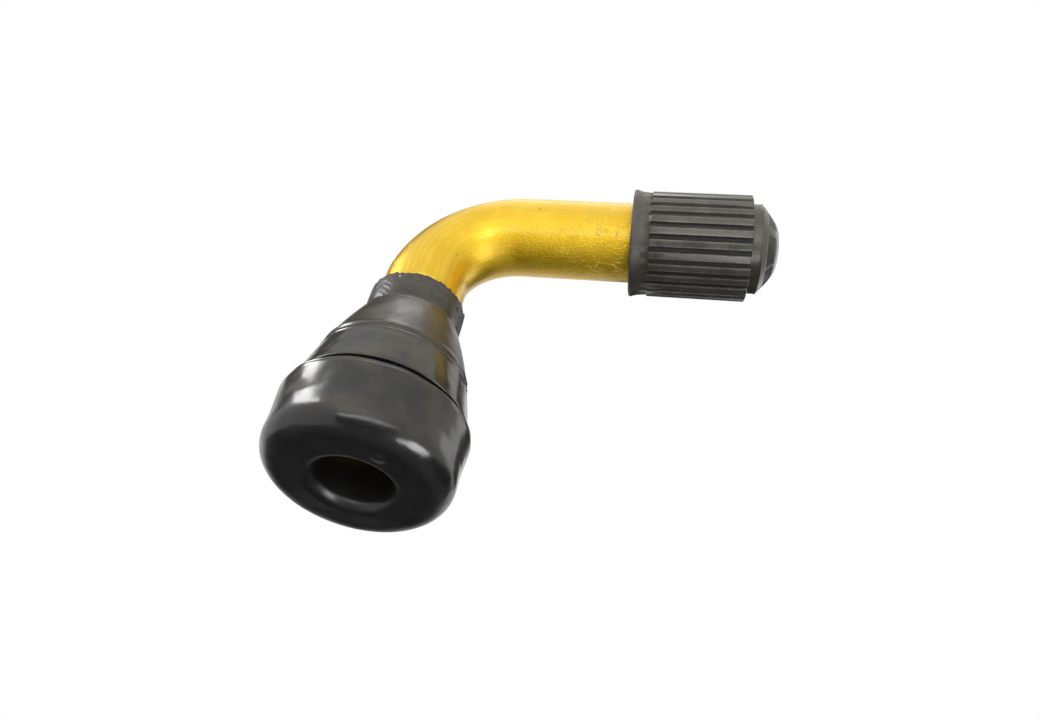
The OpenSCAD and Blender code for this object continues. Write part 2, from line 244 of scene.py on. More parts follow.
# Fine wear, shared by the metal and the plastic: hairline scratches in three directions, a few small
# pits and a fine grain, from a coordinate in millimetres. Each set of scratches has a tilt and a
# stretch by axis, and shows only where a broad noise is high.
HAIR_SETS = ((0.35, (0.16, 2.6, 0.5)), (-0.8, (2.2, 0.2, 0.4)), (1.2, (0.3, 1.9, 0.35)))
HAIR_W, HAIR_SCALE, PIT_SCALE, PIT_RARITY, GRAIN_SCALE = 0.012, 1.7, 0.8, 0.72, 8.5
wear = bpy.data.node_groups.new("fine_wear", "ShaderNodeTree")
for label, kind in (("Vector", "NodeSocketVector"), ("Pit size", "NodeSocketFloat")):
    wear.interface.new_socket(label, in_out="INPUT", socket_type=kind)
for label in ("Scratches", "Pits", "Grain"):
    wear.interface.new_socket(label, in_out="OUTPUT", socket_type="NodeSocketFloat")
wear_in = wear.nodes.new("NodeGroupInput").outputs
wear_out = wear.nodes.new("NodeGroupOutput").inputs
hairs = 0.0
for tilt, stretch in HAIR_SETS:
    turned = put(wear, "Mapping", {"Vector": wear_in["Vector"], "Rotation": (0.2 * tilt, tilt, tilt),
                                   "Scale": stretch})
    lines = noise(wear, turned.outputs[0], scale=HAIR_SCALE, detail=1.0)
    off_line = sums(wear, "ABSOLUTE", sums(wear, "SUBTRACT", lines, 0.5))
    here = between(wear, noise(wear, wear_in["Vector"], scale=0.9 + tilt * 0.2), 0.5, 0.62)
    hair = sums(wear, "MULTIPLY", between(wear, off_line, 0.0, HAIR_W, 1, 0), here)
    hairs = sums(wear, "MAXIMUM", hairs, hair)
wear.links.new(hairs, wear_out["Scratches"])
cells = put(wear, "TexVoronoi", {"Vector": wear_in["Vector"], "Scale": PIT_SCALE}).outputs
chosen = put(wear, "SeparateColor", {"Color": cells["Color"]}).outputs
pit = sums(wear, "LESS_THAN", cells["Distance"], sums(wear, "MULTIPLY", wear_in["Pit size"], chosen[0]))
rare = sums(wear, "GREATER_THAN", chosen[1], PIT_RARITY)
wear.links.new(sums(wear, "MULTIPLY", pit, rare), wear_out["Pits"])
wear.links.new(noise(wear, wear_in["Vector"], scale=GRAIN_SCALE), wear_out["Grain"])


def worn(tree, vector, pit_size):
    """The fine wear group in a material: its scratches, pits and grain."""
    return put(tree, "Group", {"Vector": vector, "Pit size": pit_size}, node_tree=wear).outputs


# Gold anodising: dyed a little unevenly, with draw marks along the foot and the bend, a blasted grain
# on the leg, scratches where the cap is screwed on, and small dark pits.
GOLD, GOLD_PALE, GOLD_LINE = (0.70, 0.445, 0.016, 1), (0.77, 0.505, 0.026, 1), (0.65, 0.41, 0.014, 1)
GOLD_SCORE, GOLD_PIT = (0.92, 0.76, 0.26, 1), (0.2, 0.12, 0.008, 1)
GOLD_PIT_SIZE, GOLD_RELIEF = 0.12, 0.068
CAP_RUB_S = (SHOULDER_S - 9, SHOULDER_S - 3)
DRAWN_S, MATT_S = (LEG_START - 13, LEG_START - 4), (LEG_START - 13, LEG_START - 6)
BLASTED_S = (LEG_START - 8, LEG_START + 1)
gold, tree, shade = new_finish("gold_anodised")
run = put(tree, "Attribute", attribute_name="straight").outputs["Vector"]
along = put(tree, "SeparateXYZ", {"Vector": run}).outputs["X"]
marks = worn(tree, run, GOLD_PIT_SIZE)
cloud = noise(tree, run, scale=0.35, detail=4.0)
drawn = noise(tree, run, scale=1.6, detail=3.0, stretch=(0.06, 1.6, 1.6))
by_cap = between(tree, along, *CAP_RUB_S)
scored = sums(tree, "MULTIPLY", marks["Scratches"], sums(tree, "ADD", by_cap, 0.3))
lined = between(tree, along, *DRAWN_S, 0.8, 0.2)
colour = tint(tree, between(tree, cloud, 0.35, 0.7), GOLD, GOLD_PALE)
colour = tint(tree, sums(tree, "MULTIPLY", between(tree, drawn, 0.42, 0.62), lined), colour, GOLD_LINE)
colour = tint(tree, sums(tree, "MULTIPLY", scored, 0.45), colour, GOLD_SCORE)
colour = tint(tree, sums(tree, "MULTIPLY", marks["Pits"], 0.5), colour, GOLD_PIT)
tree.links.new(colour, shade.inputs["Base Color"])
shade.inputs["Metallic"].default_value = 1.0
shade.inputs["Coat Weight"].default_value = 0.45
shade.inputs["Coat Roughness"].default_value = 0.25
matt = sums(tree, "MULTIPLY", between(tree, along, *MATT_S, 0.4, 1.0), 0.12)
rough = sums(tree, "ADD", between(tree, drawn, 0.3, 0.7, 0.26, 0.34), matt)
tree.links.new(rough, shade.inputs["Roughness"])
blasted = sums(tree, "MULTIPLY", marks["Grain"], between(tree, along, *BLASTED_S, 0.2, 1.0))
relief = sums(tree, "ADD", blasted, sums(tree, "MULTIPLY", drawn, lined))
relief = sums(tree, "SUBTRACT", relief, sums(tree, "MULTIPLY", scored, 0.5))
set_relief(tree, shade, sums(tree, "SUBTRACT", relief, marks["Pits"]), GOLD_RELIEF)
stem.data.materials.append(gold)

# Rubber base: one black moulding, bonded to the stem's foot. The button stays inside the rim, the
# groove above it seals in the rim's hole, and the bell runs up to a thin collar round the stem. The
# mould's halves leave a line down both sides, its gate a pip, and the trimmed collar has a ragged edge.
BUTTON_R, BUTTON_H, BUTTON_EDGE, BUTTON_BLEND = 8.1, 6.4, 2.1, 4.0
LIP_R, LIP_T, LIP_LEAN, LIP_EDGE = 8.35, 0.2, 3.0, 0.06
MOUTH_R, MOUTH_DEPTH, MOUTH_EDGE, PORT_R = 3.8, 0.7, 0.8, 3.3
GROOVE_R, GROOVE_W, GROOVE_EDGE = 5.8, 1.0, 0.1
BULB_R, BULB_FOOT, BULB_TOP, BULB_FLAT, BULB_EDGE = 7.85, 0.55, 4.2, 0.6, (0.3, 0.08)
RING_R, RING_Z, BELL_SWELL, BELL_ROWS = 6.75, 5.3, 0.1, 31
COLLAR_R, COLLAR_Z, COLLAR_TOP, COLLAR_EDGE = 4.6, 11.4, 14.3, 0.1
COLLAR_DROP, COLLAR_FILLET = 0.25, 1.6
PIP_R, PIP_H, PIP_PLACE, PIP_TURN, PIP_ROWS = 0.9, 0.24, 5.35, np.radians(306), (4.3, 6.0, 0.09)
BOND, LIP_MARGIN = 0.02, 0.01
RUBBER_SIDES = 288
# Raised and sunk lines round the ring between bulb and bell: height, width and lift of each.
BELT = ((5.62, 0.24, 0.10), (5.10, 0.10, -0.10), (4.80, 0.16, 0.05))
# Marks of the mould and of handling: place round the piece in degrees, width in radians, then sizes.
MOULD_TURN, MOULD_W, MOULD_H = 3, 0.022, 0.04
FLASH_TURN, FLASH_W, FLASH_H, FLASH_Z = 2, 0.035, 0.16, (11.4, 13.7)
PINCH_TURN, PINCH_W, PINCH_H, PINCH_Z, PINCH_TALL, PINCH_WAVE = 247, 0.13, 0.035, 12.0, 1.1, 0.75
DENT_TURN, DENT_W, DENT_H, DENT_Z, DENT_TALL = 342, 0.035, 0.14, 13.1, 0.3
# How far the lip, the collar and the skin wander, and how deep the trimmed edge is torn and nicked.
LIP_WAVE, LIP_SINK, LIP_SAG, COLLAR_WAVE, SKIN_WAVE = 0.022, 0.085, 0.03, 0.022, 0.014
TEAR_FINE, TEAR_BROAD, NICK_DEPTH = 0.06, 0.04, 0.1
rise = np.linspace(0, 1, BELL_ROWS)[:-1]
bell = np.stack([RING_R + (COLLAR_R - RING_R) * rise + BELL_SWELL * np.sin(np.pi * rise),
                 RING_Z + (COLLAR_Z - RING_Z) * rise, 0 * rise], 1)
bulb_top_r = BULB_R + (RING_R - BULB_R) * (BULB_TOP - BULB_FOOT) / (RING_Z - BULB_FOOT)
stem_fit, foot_fit = STEM_R + BOND, FOOT_R + BOND
foot_low, foot_high = -SEAT_TO_FOOT - BOND, FOOT_H - SEAT_TO_FOOT + BOND
button = rounded([(PORT_R, foot_low, 0), (PORT_R, -BUTTON_H + MOUTH_DEPTH, MOUTH_EDGE),
                  (MOUTH_R, -BUTTON_H, MOUTH_EDGE)]
                 + [(row, -BUTTON_H, 0) for row in np.arange(*PIP_ROWS)]
                 + [(BUTTON_R, -BUTTON_H, BUTTON_EDGE), (BUTTON_R, -LIP_LEAN, BUTTON_BLEND),
                    (LIP_R, -LIP_T, LIP_EDGE), (LIP_R, 0, LIP_EDGE), (GROOVE_R, 0, GROOVE_EDGE),
                    (GROOVE_R, GROOVE_W, GROOVE_EDGE), (BULB_R - BULB_FLAT, GROOVE_W, BULB_EDGE[0]),
                    (BULB_R, BULB_FOOT, BULB_EDGE[1]), (bulb_top_r, BULB_TOP, 0)], step=0.2)
ring = rounded([(bulb_top_r, BULB_TOP, 0), (RING_R, RING_Z, 0), *bell[1:5]], step=0.055)
upper = rounded([*bell[4:-4], (COLLAR_R, COLLAR_Z - COLLAR_DROP, COLLAR_FILLET),
                 (COLLAR_R, COLLAR_TOP, COLLAR_EDGE), (stem_fit, COLLAR_TOP, 0)], step=0.13)
inner = rounded([(stem_fit, COLLAR_TOP, 0), (stem_fit, foot_high, 0), (foot_fit, foot_high, 0),
                 (foot_fit, foot_low, 0), (PORT_R, foot_low, 0)], step=2.0)
outline = np.concatenate([button[:-1], ring[:-1], upper, inner[1:-1]])
r0, z0 = outline[:, :1], outline[:, 1:]
turn = np.linspace(0, TAU, RUBBER_SIDES, endpoint=False)[None, :]


def wander(turn, seed, waves, low=2):
    """Uneven edge that closes on itself: the sum of as many sines as waves, from low turns round the
    piece upwards, each with a seeded phase and a height that falls with the root of its turns."""
    draw = np.random.default_rng(seed)
    k = np.arange(low, low + waves)[:, None, None]
    return (np.sin(k * turn[None] + draw.uniform(0, TAU, (waves, 1, 1))) / np.sqrt(k)).sum(0)


def window(x, low, high, soft):
    """1 between low and high, falling to 0 over soft on each side."""
    return np.clip((x - low) / soft + 1, 0, 1) * np.clip((high - x) / soft + 1, 0, 1)


def off_turn(turn, degrees):
    """Angle from a place round the piece, between -pi and pi."""
    return (turn - np.radians(degrees) + np.pi) % TAU - np.pi


outer_skin = np.arange(len(outline))[:, None] < len(outline) - len(inner) + 2
above = outer_skin * (r0 > STEM_R + 0.2)
at_lip = window(z0, -LIP_T, 0, soft=0.1) * (r0 > BUTTON_R)
at_collar = window(z0, COLLAR_Z + 0.4, COLLAR_TOP, soft=0.3) * above
at_top = (z0 > COLLAR_TOP - 0.3) * outer_skin * (r0 > STEM_R + 0.1)
belt = sum(lift * hump(z0, z, width) for z, width, lift in BELT) * above
mould_line = hump(np.sin(off_turn(turn, MOULD_TURN)), 0, MOULD_W) * above
mould_line = mould_line * window(z0, GROOVE_W - 0.1, COLLAR_TOP, soft=0.2)
flash = hump(off_turn(turn, FLASH_TURN), 0, FLASH_W) * window(z0, *FLASH_Z, soft=0.8) * above
from_pinch = off_turn(turn, PINCH_TURN)
pinch = hump(from_pinch, 0, PINCH_W) * hump(z0, PINCH_Z, PINCH_TALL) * above
pinch = pinch * np.sin((z0 * 1.2 + COLLAR_R * from_pinch) * TAU / PINCH_WAVE)
dent = hump(off_turn(turn, DENT_TURN), 0, DENT_W) * hump(z0, DENT_Z, DENT_TALL) * above
gate = np.hypot(r0 * np.cos(turn) - PIP_PLACE * np.cos(PIP_TURN),
                r0 * np.sin(turn) - PIP_PLACE * np.sin(PIP_TURN))
pip = (0.5 + 0.5 * np.cos(np.pi * np.minimum(gate / PIP_R, 1))) * (z0 < -BUTTON_H + 0.01)
uneven = outer_skin * wander(turn + 0.08 * z0, seed=8, waves=5) * (z0 > -BUTTON_H + 0.6)
rubber_r = (r0 + at_lip * (LIP_WAVE * wander(turn, seed=3, waves=12) - LIP_SINK)
            + at_collar * COLLAR_WAVE * wander(turn + z0 * 0.25, seed=5, waves=7)
            + belt * (0.8 + 0.2 * wander(turn, seed=17, waves=5)) + MOULD_H * mould_line
            + FLASH_H * flash - DENT_H * dent + PINCH_H * pinch + SKIN_WAVE * uneven)
rubber_r = np.minimum(rubber_r, LIP_R - LIP_MARGIN)
nicks = np.clip(wander(turn, seed=21, waves=24, low=5) - 0.8, 0, 1.2)
tears = TEAR_FINE * wander(turn, seed=13, waves=50, low=18)
tears = tears + TEAR_BROAD * wander(turn, seed=14, waves=14)
sagging = LIP_SAG * wander(turn, seed=31, waves=9, low=3)
rubber_z = z0 + at_top * (tears - NICK_DEPTH * nicks) - PIP_H * pip + at_lip * np.minimum(sagging, 0)
rubber = grid_piece("rubber_body", np.stack([rubber_r * np.cos(turn), rubber_r * np.sin(turn),
                                             rubber_z + 0 * turn], -1), loop_rows=True)
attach(rubber, "valve_body")
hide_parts("rubber_base")

# Moulded rubber: black, with a brown bloom in clouds above the button's edge, a few pale specks, one
# small white spot on the collar, and a dull scuffed band where the collar was trimmed. The bloom is
# partly painted light: it keeps off the bottom face and out of the port, which stay black as painted
# shade.
RUBBER, BLOOM_AND_LIT_WALL, SPECK = (0.016, 0.016, 0.0165, 1), (0.062, 0.053, 0.036, 1), (0.25, 0.24, 0.22, 1)
WHITE_SPOT, SCUFF = (0.8, 0.8, 0.78, 1), (0.022, 0.021, 0.020, 1)
LIT_WALL_Z, WHITE_SPOT_PLACE, WHITE_SPOT_R = (-5.8, -4.4), (-0.76, -4.53, 13.73), (0.10, 0.16)
RUBBER_RELIEF = 0.12
black, tree, shade = new_finish("moulded_rubber")
place = in_mm(tree)
high = put(tree, "SeparateXYZ", {"Vector": place}).outputs["Z"]
wide = put(tree, "VectorMath", {0: place, 1: (1, 1, 0)}, operation="MULTIPLY").outputs[0]
wide = put(tree, "VectorMath", {0: wide}, operation="LENGTH").outputs["Value"]
cloud = noise(tree, place, scale=0.24, detail=4.0)
fine = noise(tree, place, scale=7.0, detail=4.0)
# Painted light and shade: bloom on the walls facing the light, none on the bottom face or in the port.
bloom_and_lit_wall = sums(tree, "MULTIPLY", between(tree, high, *LIT_WALL_Z), between(tree, cloud, 0.38, 0.62, 0.1, 1.0))
bloom_and_lit_wall = sums(tree, "MULTIPLY", bloom_and_lit_wall, between(tree, wide, PORT_R + 0.1, PORT_R + 0.5))
colour = tint(tree, bloom_and_lit_wall, RUBBER, BLOOM_AND_LIT_WALL)
specks = put(tree, "TexVoronoi", {"Vector": place, "Scale": 1.6}).outputs
chosen = put(tree, "SeparateColor", {"Color": specks["Color"]}).outputs[0]
speck = sums(tree, "LESS_THAN", specks["Distance"], 0.09)
speck = sums(tree, "MULTIPLY", speck, between(tree, chosen, 0.82, 0.9))
colour = tint(tree, sums(tree, "MULTIPLY", speck, 0.35), colour, SPECK)
# One small white spot on the collar.
from_white_spot = put(tree, "VectorMath", {0: place, 1: WHITE_SPOT_PLACE}, operation="DISTANCE").outputs["Value"]
colour = tint(tree, between(tree, from_white_spot, *WHITE_SPOT_R, 1, 0), colour, WHITE_SPOT)
trimmed = between(tree, high, COLLAR_Z - 0.2, COLLAR_Z + 0.8)
scuffed = noise(tree, place, scale=1.7, detail=5.0)
scuff = sums(tree, "MULTIPLY", trimmed, between(tree, scuffed, 0.35, 0.6, 0.7, 0.0))
colour = tint(tree, scuff, colour, SCUFF)
tree.links.new(colour, shade.inputs["Base Color"])
rough = between(tree, cloud, 0.3, 0.7, 0.26, 0.15)
dull = sums(tree, "MAXIMUM", trimmed, between(tree, wide, MOUTH_R, MOUTH_R + 0.5, 1.0, 0.0))
dull = sums(tree, "MAXIMUM", dull, between(tree, high, RING_Z - 2, RING_Z + 2, 0.0, 0.6))
dull = sums(tree, "MAXIMUM", dull, between(tree, high, -BUTTON_H + 0.1, -BUTTON_H + 0.7, 1.0, 0.0))
tree.links.new(sums(tree, "ADD", rough, sums(tree, "MULTIPLY", dull, 0.2)), shade.inputs["Roughness"])
broad = sums(tree, "MULTIPLY", noise(tree, place, scale=0.17, detail=0.0), 2.6)
wavy = sums(tree, "ADD", noise(tree, place, scale=0.45, detail=1.0), broad)
torn = sums(tree, "MULTIPLY", scuffed, sums(tree, "MULTIPLY", trimmed, 0.6))
relief = sums(tree, "ADD", sums(tree, "ADD", torn, sums(tree, "MULTIPLY", fine, 0.03)), wavy)
set_relief(tree, shade, relief, RUBBER_RELIEF)
rubber.data.materials.append(black)

# Valve core: a brass plug with a two-sided yoke screws into the stem's tip and holds the barrel,
# whose tapered gasket seals in the stem. The pin runs through it to the sealing cup.
BRASS, BRASS_PALE, BRASS_PIT = (0.56, 0.36, 0.11, 1), (0.68, 0.47, 0.17, 1), (0.12, 0.07, 0.02, 1)
BRASS_PIT_SIZE, BRASS_RELIEF = 0.1, 0.006
brass, tree, shade = new_finish("turned_brass")
place = in_mm(tree)
marks = worn(tree, place, BRASS_PIT_SIZE)
cloud = noise(tree, place, scale=0.6, detail=3.0)
colour = tint(tree, between(tree, cloud, 0.35, 0.7), BRASS, BRASS_PALE)
colour = tint(tree, sums(tree, "MULTIPLY", marks["Pits"], 0.6), colour, BRASS_PIT)
tree.links.new(colour, shade.inputs["Base Color"])
shade.inputs["Metallic"].default_value = 1.0
tree.links.new(between(tree, cloud, 0.3, 0.7, 0.22, 0.34), shade.inputs["Roughness"])
turned_rings = noise(tree, place, scale=9.0, detail=2.0, stretch=(1.0, 0.02, 0.02))
relief = sums(tree, "ADD", turned_rings, sums(tree, "MULTIPLY", marks["Grain"], 0.3))
set_relief(tree, shade, relief, BRASS_RELIEF)


def dress(node, finish):
    """Gives a CAD node one material."""
    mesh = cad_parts[node].data
    mesh.materials.clear()
    mesh.materials.append(finish)


for node in ("core_plug", "core_barrel", "core_pin", "core_cup"):
    dress(node, brass)

# Core gasket: a pale sealing ring of hard plastic, turned to a taper and pressed on to the barrel's
# neck. It wedges in the stem's seat as the plug is screwed down.
GASKET, GASKET_PALE = (0.62, 0.58, 0.48, 1), (0.78, 0.75, 0.66, 1)
pale, tree, shade = new_finish("gasket_plastic")
cloud = noise(tree, in_mm(tree), scale=1.2, detail=3.0)
tree.links.new(tint(tree, cloud, GASKET, GASKET_PALE), shade.inputs["Base Color"])
tree.links.new(between(tree, cloud, 0.3, 0.7, 0.4, 0.5), shade.inputs["Roughness"])
dress("core_gasket", pale)

# Soft seals: the washer in the core's cup and the disc in the cap's crown. Both are stamped from
# black rubber sheet and pushed into their seats.
SEAL, SEAL_PALE, SEAL_RELIEF = (0.018, 0.018, 0.018, 1), (0.045, 0.044, 0.042, 1), 0.009
seal, tree, shade = new_finish("seal_sheet")
place = in_mm(tree)
cloud = noise(tree, place, scale=1.0, detail=4.0)
fine = noise(tree, place, scale=12.0)
tree.links.new(tint(tree, cloud, SEAL, SEAL_PALE), shade.inputs["Base Color"])
tree.links.new(between(tree, fine, 0.3, 0.7, 0.5, 0.65), shade.inputs["Roughness"])
set_relief(tree, shade, fine, SEAL_RELIEF)
dress("core_washer", seal)
dress("cap_seal", seal)

# Core spring: hard steel wire, coiled round the pin between its collar and the barrel's floor. It
# shortens as the pin is pressed.
WIRE_R, COIL_R, COIL_TURNS, COIL_DEPTHS = 0.14, 0.875, 7, (6.32, 11.25)
COIL_TOP, COIL_END = TIP_X - COIL_DEPTHS[0], TIP_X - COIL_DEPTHS[1]
COIL_LEN, PIN_TRAVEL = COIL_TOP - COIL_END, 1.5
WIRE_SIDES, WIRE_RINGS = 10, 28
WIRE, WIRE_PALE = (0.45, 0.46, 0.47, 1), (0.62, 0.63, 0.64, 1)
step = np.linspace(0, 1, COIL_TURNS * WIRE_RINGS + 1)[:, None]
wire = np.linspace(0, TAU, WIRE_SIDES, endpoint=False)[None, :]
end_cap = np.concatenate([[[0.0]], np.ones((len(step), 1)), [[0.0]]])
step = np.concatenate([step[:1], step, step[-1:]])
around = TAU * COIL_TURNS * step
coil_r = COIL_R + end_cap * WIRE_R * np.cos(wire)
coil_x = COIL_TOP - WIRE_R - (COIL_LEN - 2 * WIRE_R) * step + end_cap * WIRE_R * np.sin(wire)
coil = grid_piece("core_coil", np.stack([coil_x, coil_r * np.cos(around),
                                         LEG_Z + coil_r * np.sin(around)], -1))
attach(coil, "valve_body")
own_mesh(coil)
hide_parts("core_spring")
steel, tree, shade = new_finish("spring_wire")
fine = noise(tree, in_mm(tree), scale=8.0)
tree.links.new(tint(tree, fine, WIRE, WIRE_PALE), shade.inputs["Base Color"])
tree.links.new(between(tree, fine, 0.3, 0.7, 0.25, 0.38), shade.inputs["Roughness"])
shade.inputs["Metallic"].default_value = 1.0
coil.data.materials.append(steel)

# Dust cap: a moulded plastic cap with flat grip ribs, a plain flared skirt and a domed nose. It
# screws on to the stem's thread and presses its seal against the tip. The ribs' edges carry a painted
# highlight.
CAP_X, SKIRT_LEN, RIB_END, NOSE_LEN, DOME_H = 19.6, 1.8, 11.41, 1.0, 1.8
CAP_LEN = RIB_END + NOSE_LEN + DOME_H
SKIRT_R, SKIRT_TAPER, SKIRT_FLARE, RIB_R, NOSE_R, FLAT_R = 5.45, 0.35, 0.8, 5.25, 4.4, 1.3
CAP_BORE_R, CAP_DEPTH, MOUTH_BORE_R, MOUTH_BORE_LEN = 3.95, 11.51, 4.4, 1.1
RIBS, RIB_ROWS, RIB_MARGIN = 27, (3.5, 5.5, 7.5, 9.5), 0.2
SLOT_DEPTH, SLOT_W, SLOT_EDGE, SLOT_LEAN = 0.4, 0.52, 0.04, (0.03, 0.01)
# Painted highlight along the ribs' edges: its width, and how far in from the slot it lies.
EDGE_HIGHLIGHT_W, EDGE_HIGHLIGHT_IN = 0.06, 0.06
EDGE, EDGE_SOFT = 0.09, 0.03
NOSE_STEP, NOSE_BEAD = 0.05, (0.035, 0.02)
RECESS_R, RECESS_DEPTH, RECESSES = (2.85, 3.75), 0.2, 3
RECESS_TURN, RECESS_HALF, BRIDGE_HALF = 189, 50, 3.5
half_pitch, half_slot = np.pi * RIB_R / RIBS, SLOT_W / 2
# Across half a rib's pitch from the middle of a slot: 1 on the slot's floor, 0 on the rib's crest.
slot = rounded([(0, 1, 0), (half_slot - SLOT_LEAN[0], 1, SLOT_EDGE),
                (half_slot + SLOT_LEAN[1], 0, SLOT_EDGE), (half_slot + RIB_MARGIN, 0, 0),
                (half_pitch, 0, 0)], step=1.0)
off = np.concatenate([-slot[:0:-1, 0], slot[:-1, 0]])
sink = np.tile(np.concatenate([slot[:0:-1, 1], slot[:-1, 1]]), RIBS)[None, :]
# Painted highlight along each rib's edge, a little in from the slot.
rubbed = np.tile(hump(np.abs(off), half_slot + EDGE_HIGHLIGHT_IN, EDGE_HIGHLIGHT_W), RIBS)[None, :]
turn = (np.arange(RIBS)[:, None] * TAU / RIBS + off[None, :] / RIB_R).reshape(1, -1)
nose_end = RIB_END + NOSE_LEN
arch = np.linspace(0, 1, 41)[1:-1]
dome = np.stack([nose_end + DOME_H * np.sin(np.pi / 2 * arch), NOSE_R + (FLAT_R - NOSE_R) * arch,
                 0 * arch], 1)
shell = rounded([(CAP_DEPTH, 0, 0), (CAP_DEPTH, CAP_BORE_R, 0.1), (MOUTH_BORE_LEN, CAP_BORE_R, 0.05),
                 (MOUTH_BORE_LEN, MOUTH_BORE_R, 0.05), (0, MOUTH_BORE_R, 0.12), (0, SKIRT_R, 0.2),
                 (SKIRT_FLARE, SKIRT_R - 0.75 * SKIRT_TAPER, 1.5),
                 (SKIRT_LEN, SKIRT_R - SKIRT_TAPER, 0)], step=1.0)
ribs_x = np.array([SKIRT_LEN, SKIRT_LEN + EDGE_SOFT, SKIRT_LEN + EDGE, *RIB_ROWS,
                   RIB_END - EDGE, RIB_END - EDGE_SOFT, RIB_END])
ribs_drop = np.concatenate([[EDGE, EDGE_SOFT, 0], np.zeros(len(RIB_ROWS)), [0, EDGE_SOFT, EDGE]])
nose = rounded([(RIB_END, NOSE_R + NOSE_STEP, 0), (RIB_END + NOSE_STEP, NOSE_R, 0),
                (nose_end - 2 * NOSE_STEP, NOSE_R, 0), (nose_end - NOSE_STEP, NOSE_R + NOSE_BEAD[0], 0),
                (nose_end, NOSE_R + NOSE_BEAD[1], 0), *dome, (CAP_LEN, FLAT_R, 0.3), (CAP_LEN, 0, 0)],
               step=0.13)
cap_x = np.concatenate([shell[:, 0], ribs_x, nose[:, 0]])[:, None]
base_r = np.concatenate([shell[:, 1], RIB_R - ribs_drop, nose[:, 1]])[:, None]
ribbed = np.concatenate([np.zeros(len(shell)), np.ones(len(ribs_x)), np.zeros(len(nose))])[:, None]
off_bridge = np.degrees(np.abs(off_turn(RECESSES * turn, RECESSES * RECESS_TURN))) / RECESSES
recess = window(base_r, *RECESS_R, soft=0.1) * window(off_bridge, BRIDGE_HALF, RECESS_HALF, soft=2.5)
recess = recess * (cap_x > nose_end)
cap_r = np.minimum(base_r, np.where(ribbed > 0, RIB_R - SLOT_DEPTH * sink, base_r + 0 * sink))
cap_grid = np.stack([CAP_X + cap_x - RECESS_DEPTH * recess, cap_r * np.sin(turn),
                     LEG_Z + cap_r * np.cos(turn)], -1)
# The height mark is 0 on the slot floors and in the nose's recesses, where the material paints shade.
cap = grid_piece("cap_shell", cap_grid, height=np.where(ribbed > 0, 1 - sink, 0.8 - 0.8 * recess),
                 rubbed=ribbed * rubbed + 3 * recess * (1 - recess))
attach(cap, "dust_cap")
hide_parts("cap")

# Cap moulding: dark brown-black plastic, glossier on the ribs than in the slots and on the skirt. The
# slots and the nose's recesses are painted dark as shade and lighter towards the top as painted light;
# the ribs' edges and the recesses' rims carry a painted highlight, and pits and scratches are paler.
SLOT_SHADE, SLOT_LIT = (0.010, 0.009, 0.008, 1), (0.080, 0.070, 0.056, 1)
RIB_DARK, RIB_CLOUD = (0.074, 0.064, 0.050, 1), (0.100, 0.088, 0.070, 1)
# Pale colour of the painted highlight on the ribs' edges and the recesses' rims.
RIB_EDGE_HIGHLIGHT = (0.24, 0.228, 0.20, 1)
CAP_PIT, CAP_SCRATCH = (0.3, 0.29, 0.27, 1), (0.2, 0.19, 0.18, 1)
CAP_PIT_SIZE, CAP_RELIEF = 0.09, 0.008
SLOT_LIT_Z = (LEG_Z - 3.4, LEG_Z - 1.2)
SKIRT_X = (CAP_X + SKIRT_LEN - 0.1, CAP_X + SKIRT_LEN)
dark, tree, shade = new_finish("cap_moulding")
place = in_mm(tree)
marks = worn(tree, place, CAP_PIT_SIZE)
cloud = noise(tree, place, scale=0.5, detail=4.0)
crest = put(tree, "Attribute", attribute_name="height").outputs["Fac"]
edge = put(tree, "Attribute", attribute_name="rubbed").outputs["Fac"]
spread = put(tree, "SeparateXYZ", {"Vector": place}).outputs
# Painted shade in the slots and recesses, lighter towards the top as painted light.
painted_slots = tint(tree, between(tree, spread["Z"], *SLOT_LIT_Z), SLOT_SHADE, SLOT_LIT)
colour = tint(tree, between(tree, crest, 0.2, 1.0), painted_slots, RIB_DARK)
colour = tint(tree, sums(tree, "MULTIPLY", between(tree, cloud, 0.4, 0.75), crest), colour, RIB_CLOUD)
# Painted highlight on the ribs' edges and the recesses' rims, uneven by a cloud.
edge = sums(tree, "MULTIPLY", edge, between(tree, cloud, 0.3, 0.6, 0.15, 0.6))
colour = tint(tree, edge, colour, RIB_EDGE_HIGHLIGHT)
colour = tint(tree, sums(tree, "MULTIPLY", marks["Pits"], 0.35), colour, CAP_PIT)
colour = tint(tree, sums(tree, "MULTIPLY", marks["Scratches"], 0.2), colour, CAP_SCRATCH)
tree.links.new(colour, shade.inputs["Base Color"])
rough = between(tree, cloud, 0.3, 0.7, 0.22, 0.32)
dull = sums(tree, "MAXIMUM", between(tree, spread["X"], *SKIRT_X, 0.2, 0.0),
            between(tree, crest, 0.3, 0.9, 0.4, 0.0))
tree.links.new(sums(tree, "ADD", rough, dull), shade.inputs["Roughness"])
relief = sums(tree, "ADD", marks["Grain"], sums(tree, "MULTIPLY", cloud, 2.0))
set_relief(tree, shade, relief, CAP_RELIEF)
cap.data.materials.append(dark)

